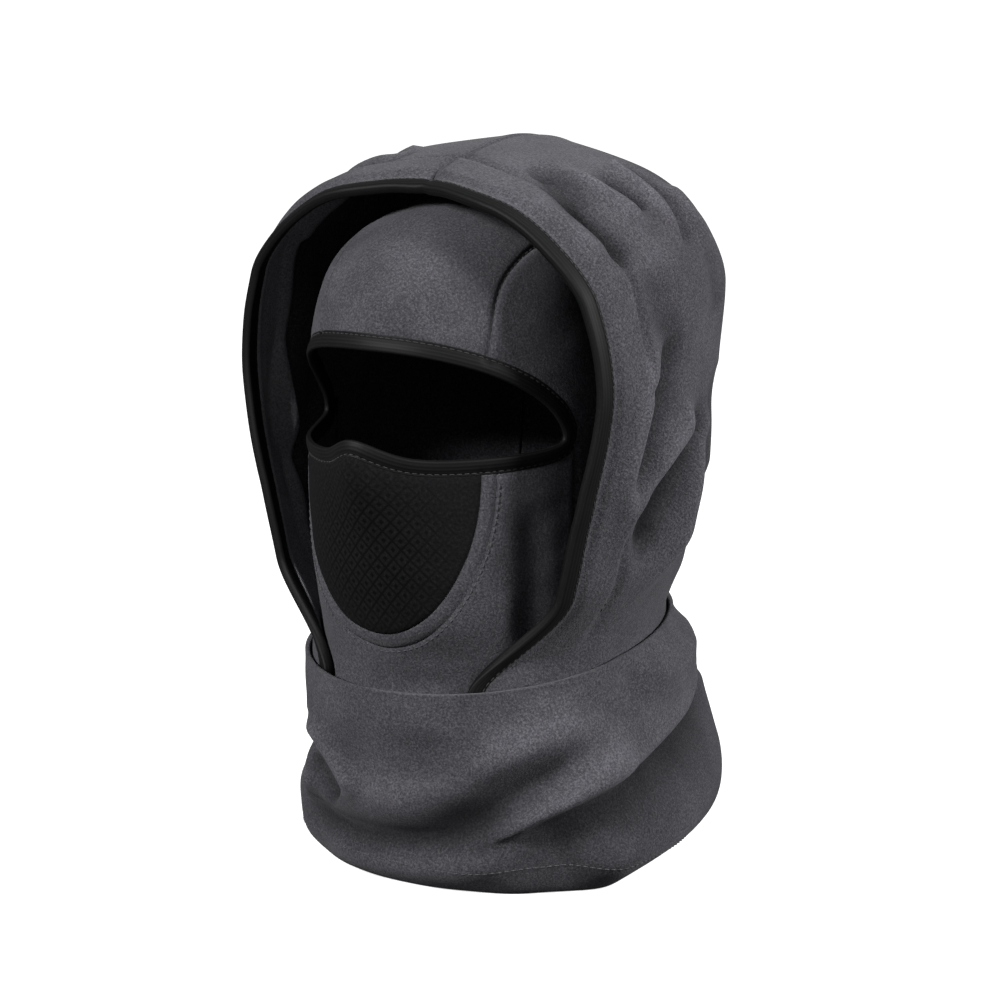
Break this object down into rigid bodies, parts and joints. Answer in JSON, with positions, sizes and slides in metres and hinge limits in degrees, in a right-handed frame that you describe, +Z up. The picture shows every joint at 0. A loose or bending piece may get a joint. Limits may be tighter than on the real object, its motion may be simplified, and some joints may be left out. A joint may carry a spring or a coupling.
{
  "type": "balaclava",
  "caption": "Fleece ski balaclava: an inner cap and mask with an eye opening under a loose hood with a bound edge, joined to a soft neck gaiter.",
  "frame": {"origin": "under the middle of the whole part, on the plane of the gaiter's bottom hem", "axes": "+Z up towards the crown, -Y the way the face looks, +X the wearer's left"},
  "size_m": [0.2196, 0.2519, 0.3485],
  "materials": {
    "fleece": "brushed polar fleece, mid grey",
    "facing": "brushed fleece strip, darker grey",
    "binding": "smooth folded elastic tape, black",
    "breather": "perforated fleece, near black",
    "thread": "spun sewing thread, dark grey"
  },
  "bodies": {
    "mask_and_gaiter": {"cap_centre_panel": "fleece", "cap_left_panel": "fleece", "cap_right_panel": "fleece", "cap_left_seam_thread": "thread", "cap_right_seam_thread": "thread", "face_panel": "fleece", "breather_panel": "breather", "breather_surround": "fleece", "surround_stitch": "thread", "eye_binding": "binding", "gaiter_tube": "fleece", "gaiter_hem_stitch": "thread", "gaiter_back_seam_thread": "thread", "neck_seam_allowance": "facing"},
    "hood": {"hood_left_panel": "fleece", "hood_right_panel": "fleece", "hood_left_facing": "facing", "hood_right_facing": "facing", "hood_edge_binding": "binding", "hood_left_topstitch": "thread", "hood_right_topstitch": "thread", "hood_seam_thread": "thread"}
  },
  "joints": [
    {"name": "hood_push_back", "type": "hinge", "parent": "mask_and_gaiter", "child": "hood", "pos_m": [0, 0.03, 0.112], "axis": [-1, 0, 0], "range_deg": [0, 30], "deforming": ["hood_left_panel", "hood_right_panel", "hood_left_facing", "hood_right_facing", "hood_edge_binding", "hood_left_topstitch", "hood_right_topstitch", "hood_seam_thread"]}
  ]
}
